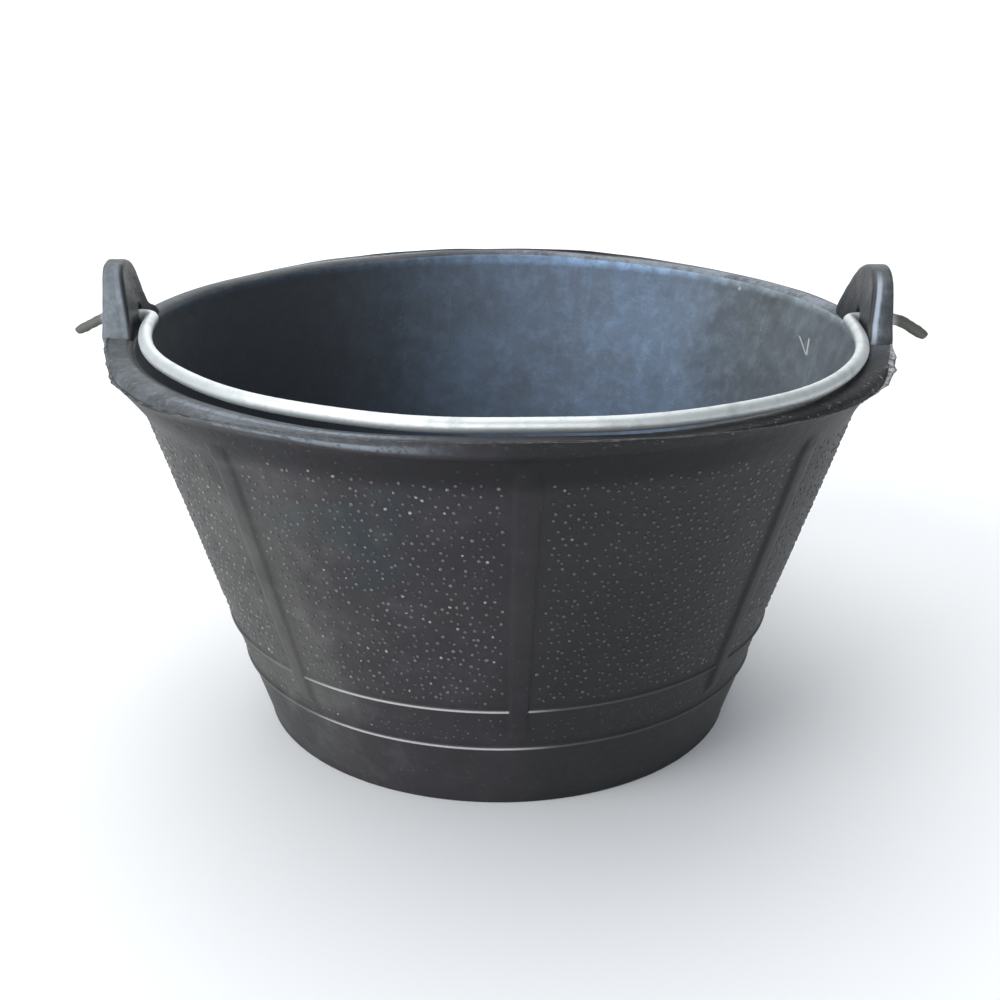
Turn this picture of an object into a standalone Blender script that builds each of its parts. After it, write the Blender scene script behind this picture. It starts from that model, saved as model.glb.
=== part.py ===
"""Rubber feed bucket with a steel wire bail.

The bucket stands on Z = 0 with its axis on Z. Its ears are on +X and -X, and the bail lies
forward on the rim, towards -Y. It turns about the X line through the holes in the ears.
"""

import math

import bmesh
import bpy
from mathutils import Matrix, Vector

# Driving dimensions, in metres.
GAP = 0.0003
CUTTER_MARGIN = 0.012
BUCKET_HEIGHT = 0.203
BASE_RADIUS = 0.1236
BASE_EDGE_ROUND = 0.002
WALL_TAPER = 0.315
WALL_THICKNESS = 0.0062
RIB_SINK = WALL_THICKNESS / 2
FLOOR_THICKNESS = 0.007
FLOOR_FILLET = 0.007

RIM_INNER_RADIUS = 0.180
RIM_OUTER_RADIUS = 0.195
RIM_EDGE_ROUND = 0.003
RIM_CHAMFER = 0.004
LIP_BOTTOM = 0.1955
LIP_OVERHANG = 0.0075
PARTING_DEPTH = 0.0024
PARTING_BAND = 0.0018

BEAD_HEIGHTS = (0.0363, 0.0596)
BEAD_HALF_WIDTH = 0.0018
BEAD_RISE = 0.0009
BEAD_CREST = 1 / 3

RIB_COUNT = 8
RIB_TURN = math.radians(3.8)
RIB_BOTTOM = 0.045
RIB_TOP = 0.189
RIB_SPAN = math.radians(4.6)
RIB_RISE = 0.0018
RIB_SIDE_RISE = 0.0007

EAR_SEAT_DEPTH = 0.005
EAR_FOOT_HALF_LENGTH = 0.0325
BLADE_HALF_LENGTH = 0.0305
EAR_TOP_HALF_LENGTH = 0.012
EAR_HEIGHT = 0.031
EAR_INNER_X = 0.181
EAR_OUTER_X = 0.191
EAR_LEAN = 0.175
EAR_CORNER_RADIUS = 0.010
EAR_EDGE_BEVEL = 0.0012
FOOT_INSET = 0.0026

WIRE_RADIUS = 0.0033
EYE_RADIUS = 0.0038
EYE_HEIGHT = 0.2069
HOOP_REACH = 0.1786
HOOP_LEAD = 0.004
HOOPS = {
    "left": {"half_width": 0.1745, "power": 2.03, "bend": 0.0065},
    "right": {"half_width": 0.1765, "power": 2.3, "bend": 0.0050},
}
TAILS = {
    "left": {"start": 0.196, "radius": 0.010, "turn": math.radians(27), "length": 0.0155},
    "right": {"start": 0.198, "radius": 0.016, "turn": math.radians(32), "length": 0.0120},
}

# Fineness of the meshes.
TUB_SEGMENTS = 96
ARC_STEPS = 4
SEAT_STEPS = 8
EYE_SEGMENTS = 24
WIRE_RESOLUTION = 3
HOOP_POINTS = 36
SHARP_ANGLE = math.radians(35)

LEFT = -1
RIGHT = 1
SIDES = {"left": LEFT, "right": RIGHT}
SEAT_HALF_TURN = EAR_FOOT_HALF_LENGTH / EAR_INNER_X
SEAT_BOTTOM = BUCKET_HEIGHT - EAR_SEAT_DEPTH


def clear_scene():
    """Remove the objects that are in the scene."""
    for old in list(bpy.data.objects):
        bpy.data.objects.remove(old, do_unlink=True)


def make_material(name, colour, roughness, metallic):
    """Return a Principled BSDF material with one colour."""
    material = bpy.data.materials.new(name)
    material.use_nodes = True
    shader = material.node_tree.nodes["Principled BSDF"]
    shader.inputs["Base Color"].default_value = (*colour, 1.0)
    shader.inputs["Roughness"].default_value = roughness
    shader.inputs["Metallic"].default_value = metallic
    return material


def add_object(name, mesh, material=None):
    """Link a new object with this mesh and material into the scene."""
    made = bpy.data.objects.new(name, mesh)
    bpy.context.scene.collection.objects.link(made)
    if material:
        mesh.materials.append(material)
    return made


def finish_mesh(work, name):
    """Turn a bmesh into a mesh whose faces all point outwards."""
    bmesh.ops.recalc_face_normals(work, faces=work.faces)
    mesh = bpy.data.meshes.new(name)
    work.to_mesh(mesh)
    work.free()
    return mesh


def make_tool(name, mesh):
    """Add a mesh that only shapes other objects, and is not part of the bucket."""
    tool = add_object(name, mesh)
    tool.hide_render = True
    tool.display_type = "WIRE"
    return tool


def combine(target, tool, operation):
    """Give the target a Boolean modifier that uses the tool."""
    modifier = target.modifiers.new(tool.name, "BOOLEAN")
    modifier.operation = operation
    modifier.object = tool


def arc_points(centre, radius, start, turn, steps):
    """Return points on a circle in a plane, from one angle through a turn."""
    points = []
    for step in range(steps + 1):
        angle = start + turn * step / steps
        points.append((centre[0] + radius * math.cos(angle), centre[1] + radius * math.sin(angle)))
    return points


def wall_radius(height):
    """Radius of the plain conical outer wall at a height."""
    return BASE_RADIUS + WALL_TAPER * height


def bead_profile(height):
    """Outline of one raised bead around the wall, as radius and height."""
    low = height - BEAD_HALF_WIDTH
    high = height + BEAD_HALF_WIDTH
    return [
        (wall_radius(low), low),
        (wall_radius(height) + BEAD_RISE, height - BEAD_HALF_WIDTH * BEAD_CREST),
        (wall_radius(height) + BEAD_RISE, height + BEAD_HALF_WIDTH * BEAD_CREST),
        (wall_radius(high), high),
    ]


def rim_profile():
    """Outline of the lip over the rim, from under its outer edge to the inner wall."""
    top = BUCKET_HEIGHT
    outer = RIM_OUTER_RADIUS
    inner_round = RIM_INNER_RADIUS + RIM_EDGE_ROUND
    parting = top - PARTING_DEPTH
    lip = [
        (outer - LIP_OVERHANG, LIP_BOTTOM + GAP),
        (outer - PARTING_BAND, parting - PARTING_BAND),
        (outer, parting),
        (outer - PARTING_BAND / 2, parting + PARTING_DEPTH / 2),
        (outer - RIM_CHAMFER, top),
    ]
    edge_centre = (inner_round, top - RIM_EDGE_ROUND)
    return lip + arc_points(edge_centre, RIM_EDGE_ROUND, math.pi / 2, math.pi / 2, ARC_STEPS)


def tub_profile():
    """Whole section of the tub on one side, from the axis outside to the axis inside."""
    floor = FLOOR_THICKNESS
    inner_foot = wall_radius(floor + FLOOR_FILLET) - WALL_THICKNESS
    fillet_centre = (inner_foot - FLOOR_FILLET, floor + FLOOR_FILLET)
    points = [(0.0, 0.0), (BASE_RADIUS - BASE_EDGE_ROUND, 0.0)]
    points.append((wall_radius(BASE_EDGE_ROUND), BASE_EDGE_ROUND))
    for height in BEAD_HEIGHTS:
        points += bead_profile(height)
    points.append((wall_radius(LIP_BOTTOM), LIP_BOTTOM))
    points += rim_profile()
    points += arc_points(fillet_centre, FLOOR_FILLET, 0.0, -math.pi / 2, ARC_STEPS)
    points.append((0.0, floor))
    return points


def spin_profile(profile):
    """Turn a section from the axis out and back to the axis once around Z."""
    work = bmesh.new()
    verts = [work.verts.new((radius, 0.0, height)) for radius, height in profile]
    edges = [work.edges.new(pair) for pair in zip(verts, verts[1:])]
    bmesh.ops.spin(
        work,
        geom=verts + edges,
        cent=(0, 0, 0),
        axis=(0, 0, 1),
        angle=math.tau,
        steps=TUB_SEGMENTS,
        use_merge=True,
    )
    bmesh.ops.remove_doubles(work, verts=work.verts, dist=1e-6)
    return work


def join_sections(work, sections):
    """Skin a run of matching closed sections and close both ends."""
    for lower, upper in zip(sections, sections[1:]):
        for index in range(len(lower)):
            following = (index + 1) % len(lower)
            work.faces.new((lower[index], lower[following], upper[following], upper[index]))
    work.faces.new(sections[0])
    work.faces.new(sections[-1])


def rim_block(profile, middle, half_turn, name):
    """Sweep a closed section around Z, half a turn each way from the middle angle."""
    work = bmesh.new()
    sections = []
    for step in range(SEAT_STEPS + 1):
        angle = middle + half_turn * (2 * step / SEAT_STEPS - 1)
        sections.append([
            work.verts.new((radius * math.cos(angle), radius * math.sin(angle), height))
            for radius, height in profile
        ])
    join_sections(work, sections)
    return finish_mesh(work, name)


def make_ribs():
    """Low roof-shaped ribs that stand on the wall, all in one mesh."""
    work = bmesh.new()
    for index in range(RIB_COUNT):
        middle = RIB_TURN - math.pi / 2 + index * math.tau / RIB_COUNT
        sections = []
        for height in (RIB_BOTTOM, RIB_TOP):
            base = wall_radius(height)
            outline = [
                (base - RIB_SINK, middle - RIB_SPAN / 2),
                (base + RIB_SIDE_RISE, middle - RIB_SPAN / 2),
                (base + RIB_RISE, middle),
                (base + RIB_SIDE_RISE, middle + RIB_SPAN / 2),
                (base - RIB_SINK, middle + RIB_SPAN / 2),
            ]
            sections.append([
                work.verts.new((radius * math.cos(angle), radius * math.sin(angle), height))
                for radius, angle in outline
            ])
        join_sections(work, sections)
    return finish_mesh(work, "rib_bars")


def side_angle(side):
    """Angle around Z at which an ear stands."""
    return 0.0 if side == RIGHT else math.pi


def make_seat(side):
    """Cutter for the seat of one ear in the top of the rim, larger than the rim on each side."""
    high = BUCKET_HEIGHT + EAR_SEAT_DEPTH
    inner = RIM_INNER_RADIUS - CUTTER_MARGIN
    outer = RIM_OUTER_RADIUS + CUTTER_MARGIN
    block = [(inner, SEAT_BOTTOM), (outer, SEAT_BOTTOM), (outer, high), (inner, high)]
    return rim_block(block, side_angle(side), SEAT_HALF_TURN + GAP / EAR_INNER_X, "seat")


def make_tub(material):
    """The rubber tub: cone, floor, lip, beads, ribs and the two ear seats."""
    tub = add_object("tub", finish_mesh(spin_profile(tub_profile()), "tub"), material)
    combine(tub, make_tool("rib_bars", make_ribs()), "UNION")
    for label, side in SIDES.items():
        combine(tub, make_tool(f"seat_{label}", make_seat(side)), "DIFFERENCE")
    shade(tub)
    return tub


def foot_profile():
    """Section of the ear's foot: the lip's own section above the bottom of the seat."""
    low = SEAT_BOTTOM + GAP
    inner = wall_radius(low) - WALL_THICKNESS
    return [(inner, low), (RIM_OUTER_RADIUS - FOOT_INSET, low), *rim_profile()[1:]]


def round_corner(before, corner, after, radius, steps):
    """Replace a corner of an outline with points on an arc that touches both of its sides."""
    corner = Vector(corner)
    back = (Vector(before) - corner).normalized()
    ahead = (Vector(after) - corner).normalized()
    half = back.angle(ahead) / 2
    centre = corner + (back + ahead).normalized() * (radius / math.sin(half))
    first = corner + back * (radius / math.tan(half)) - centre
    last = corner + ahead * (radius / math.tan(half)) - centre
    turn = first.angle(last)
    points = []
    for step in range(steps + 1):
        share = step / steps
        blend = first * math.sin((1 - share) * turn) + last * math.sin(share * turn)
        points.append(tuple(centre + blend / math.sin(turn)))
    return points


def blade_outline():
    """Outline of an ear seen along X: two sloping flanks and round top corners."""
    low = (SEAT_BOTTOM + BUCKET_HEIGHT) / 2
    top = BUCKET_HEIGHT + EAR_HEIGHT
    foot_right = (BLADE_HALF_LENGTH, low)
    foot_left = (-BLADE_HALF_LENGTH, low)
    top_right = (EAR_TOP_HALF_LENGTH, top)
    top_left = (-EAR_TOP_HALF_LENGTH, top)
    outline = [foot_right]
    outline += round_corner(foot_right, top_right, top_left, EAR_CORNER_RADIUS, ARC_STEPS)
    outline += round_corner(top_right, top_left, foot_left, EAR_CORNER_RADIUS, ARC_STEPS)
    outline.append(foot_left)
    return outline


def make_blade(side):
    """The upright part of an ear, which leans outwards as it rises."""
    work = bmesh.new()
    outline = blade_outline()
    sections = []
    for face_x in (EAR_INNER_X, EAR_OUTER_X):
        sections.append([
            work.verts.new((side * (face_x + EAR_LEAN * (z - BUCKET_HEIGHT)), y, z))
            for y, z in outline
        ])
    join_sections(work, sections)
    low = outline[0][1]
    rims = [
        edge for edge in work.edges
        if edge.verts[0].co.x * side > 0
        and abs(edge.verts[0].co.y - edge.verts[1].co.y) > GAP
        and max(vert.co.z for vert in edge.verts) > low + GAP
    ]
    bmesh.ops.bevel(work, geom=rims, offset=EAR_EDGE_BEVEL, segments=2, affect="EDGES")
    return finish_mesh(work, "blade")


def make_eye(side):
    """Cutter for the hole that the wire runs through."""
    work = bmesh.new()
    turned = Matrix.Translation((side * (EAR_INNER_X + EAR_OUTER_X) / 2, 0, EYE_HEIGHT))
    bmesh.ops.create_cone(
        work,
        cap_ends=True,
        segments=EYE_SEGMENTS,
        radius1=EYE_RADIUS,
        radius2=EYE_RADIUS,
        depth=EAR_OUTER_X - EAR_INNER_X + 2 * CUTTER_MARGIN,
        matrix=turned @ Matrix.Rotation(math.pi / 2, 4, "Y"),
    )
    return finish_mesh(work, "eye")


def make_ear(label, side, material):
    """One ear: a foot that fills its seat in the rim, and a blade with the wire's hole."""
    foot = rim_block(foot_profile(), side_angle(side), SEAT_HALF_TURN, f"ear_{label}")
    ear = add_object(f"ear_{label}", foot, material)
    combine(ear, make_tool(f"blade_{label}", make_blade(side)), "UNION")
    combine(ear, make_tool(f"eye_{label}", make_eye(side)), "DIFFERENCE")
    shade(ear)
    return ear


def tail_points(side, tail):
    """Centre line outside one ear: straight out, then bent down to the cut end."""
    points = []
    for step in range(ARC_STEPS + 1):
        angle = tail["turn"] * step / ARC_STEPS
        out = tail["start"] + tail["radius"] * math.sin(angle)
        drop = tail["radius"] * (1 - math.cos(angle))
        points.append(Vector((side * out, 0.0, -drop)))
    direction = Vector((side * math.cos(tail["turn"]), 0.0, -math.sin(tail["turn"])))
    points.append(points[-1] + direction * tail["length"])
    return points


def half_hoop_points(side, hoop):
    """Centre line from the middle of the hoop to one hole.

    It follows a superellipse to near the ear, then bends a quarter turn out into the hole.
    """
    points = []
    last = math.acos((hoop["bend"] + HOOP_LEAD) / HOOP_REACH)
    for step in range(HOOP_POINTS):
        angle = last * step / (HOOP_POINTS - 1)
        across = hoop["half_width"] * math.sin(angle) ** (2 / hoop["power"])
        along = HOOP_REACH * math.cos(angle) ** (2 / hoop["power"])
        points.append(Vector((side * across, -along, 0.0)))
    centre = (hoop["half_width"] + hoop["bend"], -hoop["bend"])
    bend = arc_points(centre, hoop["bend"], math.pi, -math.pi / 2, ARC_STEPS)
    return points + [Vector((side * x, y, 0.0)) for x, y in bend]


def bail_points():
    """Whole centre line of the bail, from the left cut end to the right one."""
    left = half_hoop_points(LEFT, HOOPS["left"]) + tail_points(LEFT, TAILS["left"])
    right = half_hoop_points(RIGHT, HOOPS["right"]) + tail_points(RIGHT, TAILS["right"])
    return list(reversed(left)) + right[1:]


def make_bail(material):
    """The wire bail, whose origin is on the line through the holes in the ears."""
    curve = bpy.data.curves.new("bail", "CURVE")
    curve.dimensions = "3D"
    curve.bevel_depth = WIRE_RADIUS
    curve.bevel_resolution = WIRE_RESOLUTION
    curve.use_fill_caps = True
    points = bail_points()
    spline = curve.splines.new("POLY")
    spline.points.add(len(points) - 1)
    for target, point in zip(spline.points, points):
        target.co = (*point, 1.0)
    spline.use_smooth = True
    bail = add_object("bail", curve, material)
    bail.location = (0.0, 0.0, EYE_HEIGHT)
    return bail


def shade(target):
    """Shade an object smooth, except across its sharp edges."""
    target.data.shade_smooth()
    target.data.set_sharp_from_angle(angle=SHARP_ANGLE)


def main():
    """Build the bucket."""
    clear_scene()
    make_tub(make_material("tub_rubber", (0.036, 0.038, 0.041), 0.62, 0.0))
    for label, side in SIDES.items():
        rubber = make_material(f"ear_{label}_rubber", (0.040, 0.042, 0.046), 0.58, 0.0)
        make_ear(label, side, rubber)
    make_bail(make_material("bail_steel", (0.62, 0.63, 0.62), 0.38, 0.9))


main()
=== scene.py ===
"""Looks of a moulded rubber feed bucket with a galvanised wire bail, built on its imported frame."""

import math

import bpy
import numpy as np
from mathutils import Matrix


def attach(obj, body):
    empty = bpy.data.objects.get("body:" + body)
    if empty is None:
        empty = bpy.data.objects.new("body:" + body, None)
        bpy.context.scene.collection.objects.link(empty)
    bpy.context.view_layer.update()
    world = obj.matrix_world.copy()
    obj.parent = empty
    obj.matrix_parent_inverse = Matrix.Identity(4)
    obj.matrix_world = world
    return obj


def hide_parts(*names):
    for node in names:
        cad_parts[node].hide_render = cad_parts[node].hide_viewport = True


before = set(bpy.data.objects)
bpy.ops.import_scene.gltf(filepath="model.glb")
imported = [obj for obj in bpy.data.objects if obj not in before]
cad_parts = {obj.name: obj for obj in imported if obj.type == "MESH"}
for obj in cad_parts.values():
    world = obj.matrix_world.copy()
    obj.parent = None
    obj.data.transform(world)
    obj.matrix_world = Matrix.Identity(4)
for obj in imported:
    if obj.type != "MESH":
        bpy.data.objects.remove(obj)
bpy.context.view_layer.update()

bl_info = {
    "name": "Feed Bucket",
    "version": (1, 0, 0),
    "blender": (4, 5, 0),
    "location": "View3D > Sidebar > Feed Bucket",
    "description": "Moulded rubber feed bucket with carrying ears and a galvanised wire bail",
    "category": "Object",
}

MM = 0.001
QUARTER = math.pi / 2

# Rim: its crest's radius at the front, how much nearer the crest is at the shoulders, how
# far the mouth's round drops inwards, and how many of its last rows wear the inside rubber.
CREST_RADIUS = 0.1868
CREST_DRAW = 0.0022
MOUTH_DROP = 0.0042
MOUTH_INSIDE_ROWS = 4

# Wall: where its even rows end, and its last rows below the lip.
PANEL_TOP = 0.1835
NECK_LEVELS = (0.1865, 0.1892, 0.1917)

# Lip's underside: how far each row stands out from the wall's cone and how high it is,
# first at the front and back, then at the shoulders.
LIP_BAND = (
    (0.0002, 0.1944, 0.0, 0.1934),
    (0.0018, 0.1955, 0.0002, 0.1948),
    (0.0027, 0.1967, 0.0006, 0.1958),
    (0.0030, 0.1990, 0.0012, 0.1964),
)

# Bucket's floor: radius of the round at its edge, and its rings towards the middle.
FLOOR_ROUND = 0.009
FLOOR_RINGS = (0.098, 0.080, 0.060, 0.038, 0.018, 0.006)

# Underside: depth of the recess, and the radius and height of each ring up to the foot.
RECESS = 0.0008
FOOT_RINGS = (
    (0.006, RECESS),
    (0.045, RECESS),
    (0.094, RECESS),
    (0.0968, 0.0007),
    (0.0978, 0.0001),
    (0.0995, 0.0),
)

# Ears: half the plate's thickness and the round of its edge, the middle's distance from the
# axis at the eye, its lean outwards for each metre up, and the radius it is bowed to.
EAR_HALF = 0.0050
EAR_ROUND = 0.0021
EAR_PLACE = 0.1864
EAR_LEAN = 0.140
EAR_BOW_RADIUS = 0.26
EAR_OUTLINES = {
    "right": [
        (37, -3), (35, 1.5), (32, 5.8), (26, 13.3), (22.6, 18.3), (18, 22.3), (12, 25.4),
        (5, 27.0), (-4.7, 27.0), (-12.5, 23.8), (-19.7, 18.2), (-23.6, 11.5), (-27.5, 4.0),
        (-33.5, -0.8), (-36, -4), (-34, -7.5), (-15, -8.0), (0, -8.2), (15, -8.0), (34, -7.5),
    ],
    "left": [
        (31, -3), (27, -0.5), (20, 1.5), (17, 4.2), (13.6, 11.0), (10.4, 18), (8.0, 23.4),
        (4.8, 27.2), (-1, 29.2), (-7, 29.6), (-13.6, 28.4), (-18.8, 24.6), (-22.6, 17.0),
        (-25.2, 8.0), (-27.6, 1.5), (-31, -3), (-31, -7.5), (-15, -8.0), (0, -8.2), (15, -8.0),
        (31, -7.5),
    ],
}

# Bail, by side: half the bow's width and its curve's power, the radius of the bend into the
# eye, where the run through the ear ends, and the tail's radius, turn and last straight run.
BAIL_SIDES = {
    -1: {"width": 0.1745, "power": 2.03, "bend": 0.0065, "tail": (0.196, 0.010, 27, 0.0155)},
    1: {"width": 0.1765, "power": 2.3, "bend": 0.0050, "tail": (0.198, 0.016, 32, 0.0120)},
}
BAIL_SPACING = 0.0014
WIRE_SIDES = 18
CUT_PINCH = (0.62, 0.84, 0.96)
CUT_BULGE = 0.0006


# Finishes: the radius that wraps the inside's patterns, the angle, lean, bottom and top of
# each scratch there, and the ears' inner face, bow and foot joint as their finish takes them.
INSIDE_RADIUS = 0.17
SCRATCHES = ((1.310, -10.1, 0.1755, 0.1835), (1.312, -2.4, 0.1755, 0.1845))
EAR_FACE = 0.1814
EAR_BOW = 1.92
EAR_JOINT = 0.2012


# ---------------------------------------------------------------- sizes and colours


def length(name, text, default):
    """A length in metres, shown in the scene's own unit."""
    return bpy.props.FloatProperty(
        name=name, description=text, default=default, min=0.0, unit="LENGTH", precision=5
    )


def turn(name, text, degrees):
    """An angle, shown in degrees."""
    return bpy.props.FloatProperty(
        name=name, description=text, default=math.radians(degrees), subtype="ANGLE"
    )


def colour(name, text, default):
    """A linear colour."""
    return bpy.props.FloatVectorProperty(
        name=name, description=text, default=default, size=3, min=0.0, max=1.0, subtype="COLOR"
    )


def count(name, text, default):
    """A whole number of things."""
    return bpy.props.IntProperty(name=name, description=text, default=default, min=1)


class BucketSizes(bpy.types.PropertyGroup):
    """Sizes of the tub, its ears and its bail."""

    height: length("Height", "Height of the rim's top over the base", 0.203)
    base_radius: length("Base radius", "Radius that the outer wall's cone has at the floor", 0.1236)
    taper: bpy.props.FloatProperty(
        name="Taper", description="Growth of the wall's radius for each metre up", default=0.315
    )
    wall: length("Wall", "Thickness of the wall", 0.0062)
    floor: length("Floor", "Thickness of the bucket's floor", 0.007)
    mouth_radius: length("Mouth radius", "Radius of the rim's inner edge", 0.180)
    rim_radius: length("Rim radius", "Widest radius of the rim, beside the ears", 0.195)
    bead_low: length("Lower bead", "Height of the lower raised ring", 0.0363)
    bead_high: length("Upper bead", "Height of the upper raised ring", 0.0596)
    bead_rise: length("Bead rise", "How far the rings stand out", 0.0012)
    bead_width: length("Bead width", "Half the width of a ring", 0.0014)
    ribs: count("Ribs", "Number of upright ribs", 8)
    rib_turn: turn("Rib turn", "Turn of the ribs away from the middle between the ears", 3.8)
    rib_half: turn("Rib half width", "Half of the angle that a rib covers", 1.9)
    rib_rise: length("Rib rise", "How far a rib stands out", 0.0017)
    rib_bottom: length("Rib bottom", "Height of a rib's lower end", 0.045)
    rib_top: length("Rib top", "Height of a rib's upper end", 0.189)
    pip_radius: length("Pip radius", "Radius of a grip pip's foot", 0.00095)
    pip_rise: length("Pip rise", "Height of a grip pip", 0.00042)
    pip_rows: count("Pip rows", "Rows of pips in a panel", 29)
    pip_columns: count("Pip columns", "Pips in a row of a panel", 25)
    eye_height: length("Eye height", "Height of the bail's axis", 0.2069)
    eye_radius: length("Eye radius", "Radius of the hole through an ear", 0.0039)
    wire_radius: length("Wire radius", "Radius of the bail's wire", 0.0033)
    bail_reach: length("Bail reach", "How far the bail's bow reaches from its axis", 0.1786)


class BucketColours(bpy.types.PropertyGroup):
    """Colours of the rubber, the wire and the floor."""

    rubber: colour("Rubber", "Outside of the tub", (0.0138, 0.0136, 0.0146))
    violet: colour("Violet sheen", "Oily tint on the tub's front", (0.0172, 0.0148, 0.0208))
    teal: colour("Teal sheen", "Oily tint in patches of the front", (0.0105, 0.0190, 0.0240))
    rubber_inside: colour("Inner rubber", "Inside of the tub", (0.022, 0.024, 0.027))
    # Painted reflection of the sky inside the tub.
    sky_reflection: colour("Blue film", "Sky-blue film inside the tub", (0.245, 0.385, 0.600))
    # Dust colour, also used for painted light that pales the outside's left and the pips.
    dust_and_light: colour("Dust", "Dried dust and bloom on the rubber", (0.175, 0.172, 0.160))
    # Pale bloom, also used for painted sheen on the rim and the ears and a painted highlight at an
    # ear's foot.
    bloom_and_sheen: colour("Bloom", "Pale blue-grey film on the rim and the ears", (0.205, 0.235, 0.265))
    # Scratches and nicks, also used for painted highlights on the raised rings and the pips.
    scuff_and_glint: colour("Scuff", "Scratches and scraped rubber", (0.42, 0.42, 0.41))
    zinc: colour("Zinc", "Galvanised coat of the wire", (0.69, 0.72, 0.72))
    tarnish: colour("Tarnish", "Dull patches on the wire", (0.25, 0.255, 0.24))
    # Painted shade: darkens the neck under the lip and the lip's band right of the front.
    shade: colour("Shade", "Unfaded rubber under the lip", (0.003, 0.003, 0.004))
    # Greyer painted reflection at the inside's right.
    grey_reflection: colour("Haze", "Greyer film at the inside's right", (0.27, 0.31, 0.34))
    # Painted highlight on the edge of an ear's near face.
    ear_edge_highlight: colour("Rubbed corner", "Polished corner of an ear", (0.46, 0.52, 0.62))
    scratched: colour("Scratched", "Fresh scratches inside the tub", (0.55, 0.56, 0.56))
    scale: colour("Scale", "Dark scale on the wire's tails", (0.060, 0.060, 0.044))
    ground: colour("Floor", "Studio floor and backdrop", (0.92, 0.92, 0.92))
    cloudy: colour("Floor's clouds", "Faint clouds in the floor", (0.87, 0.87, 0.87))


def sizes():
    """The bucket's sizes, as the sidebar holds them."""
    return bpy.context.scene.bucket_sizes


def colours():
    """The bucket's colours, as the sidebar holds them."""
    return bpy.context.scene.bucket_colours


# ---------------------------------------------------------------- shader maths


class Value:
    """An output of a shader node; arithmetic on it adds the Math nodes that work it out."""

    def __init__(self, paint, socket):
        self.paint = paint
        self.socket = socket

    def maths(self, operation, *values):
        """Add one Math node that takes these values."""
        inputs = dict(enumerate(values))
        return self.paint.node("ShaderNodeMath", {"operation": operation}, inputs)

    def __add__(self, other):
        return self.maths("ADD", self, other)

    def __radd__(self, other):
        return self.maths("ADD", other, self)

    def __sub__(self, other):
        return self.maths("SUBTRACT", self, other)

    def __rsub__(self, other):
        return self.maths("SUBTRACT", other, self)

    def __mul__(self, other):
        return self.maths("MULTIPLY", self, other)

    def __rmul__(self, other):
        return self.maths("MULTIPLY", other, self)

    def __truediv__(self, other):
        return self.maths("DIVIDE", self, other)

    def __rtruediv__(self, other):
        return self.maths("DIVIDE", other, self)

    def __pow__(self, other):
        return self.maths("POWER", self, other)

    def __abs__(self):
        return self.maths("ABSOLUTE", self)

    def step(self, low, high):
        """Smooth step: 0 below low, 1 above high, and a soft S between them."""
        inputs = {0: self, 1: low, 2: high, 3: 0.0, 4: 1.0}
        settings = {"interpolation_type": "SMOOTHSTEP"}
        return self.paint.node("ShaderNodeMapRange", settings, inputs)


class Paint:
    """A material whose nodes are all added through one method."""

    def __init__(self, name):
        self.material = bpy.data.materials.new(name)
        self.material.use_nodes = True
        self.tree = self.material.node_tree
        self.shader = self.tree.nodes["Principled BSDF"]

    def node(self, kind, settings=None, inputs=None, output=0):
        """Add a node, set it up, fill its sockets with values or links, and return an output."""
        made = self.tree.nodes.new(kind)
        for name, value in (settings or {}).items():
            setattr(made, name, value)
        for name, value in (inputs or {}).items():
            self.plug(value, made.inputs[name])
        return Value(self, made.outputs[output])

    def plug(self, value, socket):
        """Fill a socket with a link or with a plain value."""
        if isinstance(value, Value):
            self.tree.links.new(value.socket, socket)
        else:
            socket.default_value = value

    def finish(self, **values):
        """Fill the shader's own sockets; an underscore in a name stands for a space."""
        for name, value in values.items():
            self.plug(value, self.shader.inputs[name.replace("_", " ")])
        return self.material

    def place(self):
        """Object coordinates, which hold still on the piece in every pose."""
        return self.node("ShaderNodeTexCoord", output="Object")

    def parts(self, vector):
        """X, Y and Z of a vector as three values."""
        split = self.node("ShaderNodeSeparateXYZ", inputs={0: vector})
        node = split.socket.node
        return [Value(self, node.outputs[index]) for index in range(3)]

    def stretched(self, vector, scale):
        """The vector scaled along its axes, so that a pattern runs in streaks."""
        return self.node("ShaderNodeMapping", inputs={"Vector": vector, "Scale": scale})

    def noise(self, vector, scale, detail=4.0, roughness=0.55):
        """Fractal noise from 0 to 1."""
        inputs = {"Vector": vector, "Scale": scale, "Detail": detail, "Roughness": roughness}
        return self.node("ShaderNodeTexNoise", inputs=inputs)

    def specks(self, vector, scale, size):
        """Round specks: 1 at a cell's centre and 0 beyond the given share of a cell."""
        settings = {"feature": "F1"}
        spot = self.node("ShaderNodeTexVoronoi", settings, {"Vector": vector, "Scale": scale})
        return 1 - spot.step(size * 0.5, size)

    def blend(self, factor, low, high):
        """Mix two colours, low where the factor is 0 and high where it is 1."""
        settings = {"data_type": "RGBA"}
        inputs = {"Factor": factor, 6: self.opaque(low), 7: self.opaque(high)}
        return self.node("ShaderNodeMix", settings, inputs, output=2)

    def opaque(self, value):
        """A colour of three parts gets its fourth; a link is passed on."""
        return value if isinstance(value, Value) else (*value, 1.0)

    def bumps(self, *layers):
        """Bumps on top of one another, each a height from 0 to 1 and the metres it stands for."""
        under = {}
        for height, distance in layers:
            inputs = {"Height": height, "Distance": distance, "Strength": 1.0, **under}
            under = {"Normal": self.node("ShaderNodeBump", inputs=inputs)}
        return under["Normal"]


# ---------------------------------------------------------------- mesh helpers


def smooth(value, low, high):
    """Smooth step of an array: t squared times (3 - 2t), with t from 0 at low to 1 at high."""
    share = np.clip((value - low) / (high - low), 0.0, 1.0)
    return share * share * (3 - 2 * share)


def waves(angle, terms):
    """Sum of sines round the ring: amplitude times sin(times * angle + start) for each term."""
    total = np.zeros_like(angle)
    for amplitude, times, start in terms:
        total = total + amplitude * np.sin(times * angle + start)
    return total


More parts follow.
